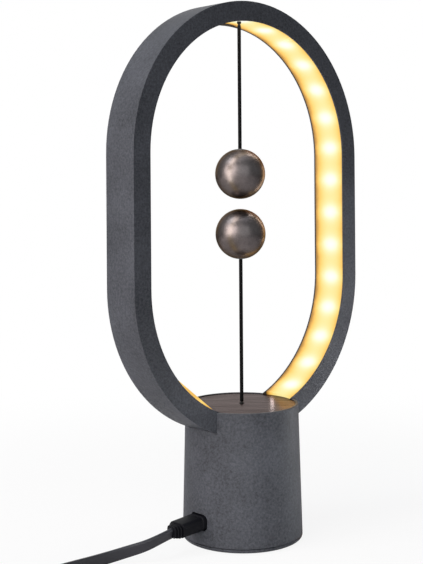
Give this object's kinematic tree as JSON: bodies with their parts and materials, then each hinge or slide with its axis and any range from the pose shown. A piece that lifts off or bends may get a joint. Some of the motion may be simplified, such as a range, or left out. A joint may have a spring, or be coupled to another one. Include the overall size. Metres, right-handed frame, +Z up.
{
  "type": "magnetic balance lamp",
  "caption": "Table lamp with an upright light-filled ring on a round base; two magnetic balls on cords meet inside the ring to switch it on.",
  "frame": {"origin": "on the table under the middle of the base", "axes": "+Z up, the ring in the XZ plane with its front towards -Y, the USB socket towards -X"},
  "size_m": [0.2288, 0.0901, 0.2543],
  "materials": {
    "ball_metal": "dark bronze, satin",
    "board_parts": "moulded",
    "circuit_board": "solder mask",
    "cord": "braided",
    "diffuser": "milky, lit from behind",
    "housing_plastic": "fine matte grain",
    "inner_plastic": "matte",
    "iron_weight": "rough",
    "lead": "satin",
    "led": "lit",
    "magnet": "nickel plated",
    "plate_metal": "bronze, fine brushed",
    "rubber_pad": "matte",
    "steel": "bright",
    "strip": "white flexible board"
  },
  "bodies": {
    "base": {"base_housing": "housing_plastic", "base_top_plate": "plate_metal", "bottom_cover": "housing_plastic", "foot_pad": "rubber_pad", "counterweight": "iron_weight", "control_board": "circuit_board", "board_components": "board_parts", "board_screws": "steel", "usb_socket": "steel", "ring_front_shell": "housing_plastic", "ring_rear_cover": "housing_plastic", "ring_diffuser": "diffuser", "led_strip": "strip", "led_chips": "led", "ring_saddle": "inner_plastic", "saddle_screws": "steel", "ring_screws": "steel", "switch_bracket": "steel", "bracket_screws": "steel", "plunger_spring": "steel", "micro_switch": "board_parts", "micro_switch_screws": "steel", "upper_cord_anchor": "inner_plastic", "ring_lead": "lead", "switch_lead": "lead"},
    "pull_rod": {"switch_plunger": "inner_plastic", "pull_cord": "cord"},
    "switch_lever": {"switch_lever": "steel"},
    "switch_button": {"switch_button": "inner_plastic"},
    "upper_knot": {"upper_cord_knot": "cord"},
    "hanging_ball": {"upper_cord": "cord", "upper_ball": "ball_metal", "upper_magnet": "magnet", "upper_ball_plug": "inner_plastic"},
    "lower_knot": {"lower_cord_knot": "cord"},
    "standing_cord": {"lower_cord": "cord"},
    "standing_ball": {"lower_ball": "ball_metal", "lower_magnet": "magnet", "lower_ball_plug": "inner_plastic"},
    "usb_lead": {"usb_plug_body": "lead", "usb_plug_shell": "steel", "usb_strain_relief": "lead", "usb_cord": "lead", "usb_cord_coil": "lead", "usb_cord_tail": "lead", "far_plug_body": "lead", "far_plug_shell": "steel"}
  },
  "joints": [
    {"name": "upper_cord_tilt", "type": "hinge", "parent": "base", "child": "upper_knot", "pos_m": [0, 0, 0.2455], "axis": [1, 0, 0], "range_deg": [-70, 70]},
    {"name": "upper_cord_swing", "type": "hinge", "parent": "upper_knot", "child": "hanging_ball", "pos_m": [0, 0, 0.2455], "axis": [0, 1, 0], "range_deg": [-40, 40]},
    {"name": "lower_cord_tilt", "type": "hinge", "parent": "base", "child": "lower_knot", "pos_m": [0, 0, 0.063], "axis": [1, 0, 0], "range_deg": [-30, 30], "stiffness_Nm_per_rad": 0.06},
    {"name": "lower_cord_swing", "type": "hinge", "parent": "lower_knot", "child": "standing_cord", "pos_m": [0, 0, 0.063], "axis": [0, 1, 0], "range_deg": [-30, 30], "stiffness_Nm_per_rad": 0.06},
    {"name": "lower_ball_drop", "type": "slide", "parent": "standing_cord", "child": "standing_ball", "axis": [0, 0, 1], "range_m": [-0.0647, 0], "deforming": ["lower_cord"]},
    {"name": "switch_pull", "type": "slide", "parent": "base", "child": "pull_rod", "axis": [0, 0, 1], "range_m": [-0.003, 0], "deforming": ["plunger_spring"]},
    {"name": "lever_turn", "type": "hinge", "parent": "base", "child": "switch_lever", "pos_m": [0.0169, 0, 0.0354], "axis": [0, 1, 0], "range_deg": [-8.2, 0]},
    {"name": "button_press", "type": "slide", "parent": "base", "child": "switch_button", "axis": [0, 0, 1], "range_m": [-0.00105, 0]},
    {"name": "usb_unplug", "type": "slide", "parent": "base", "child": "usb_lead", "axis": [-1, 0, 0], "range_m": [0, 0.012]}
  ],
  "couplings": [
    {"joint": "lever_turn", "follows": "switch_pull", "rad_per_m": 46.5},
    {"joint": "button_press", "follows": "switch_pull", "ratio": 0.33}
  ]
}
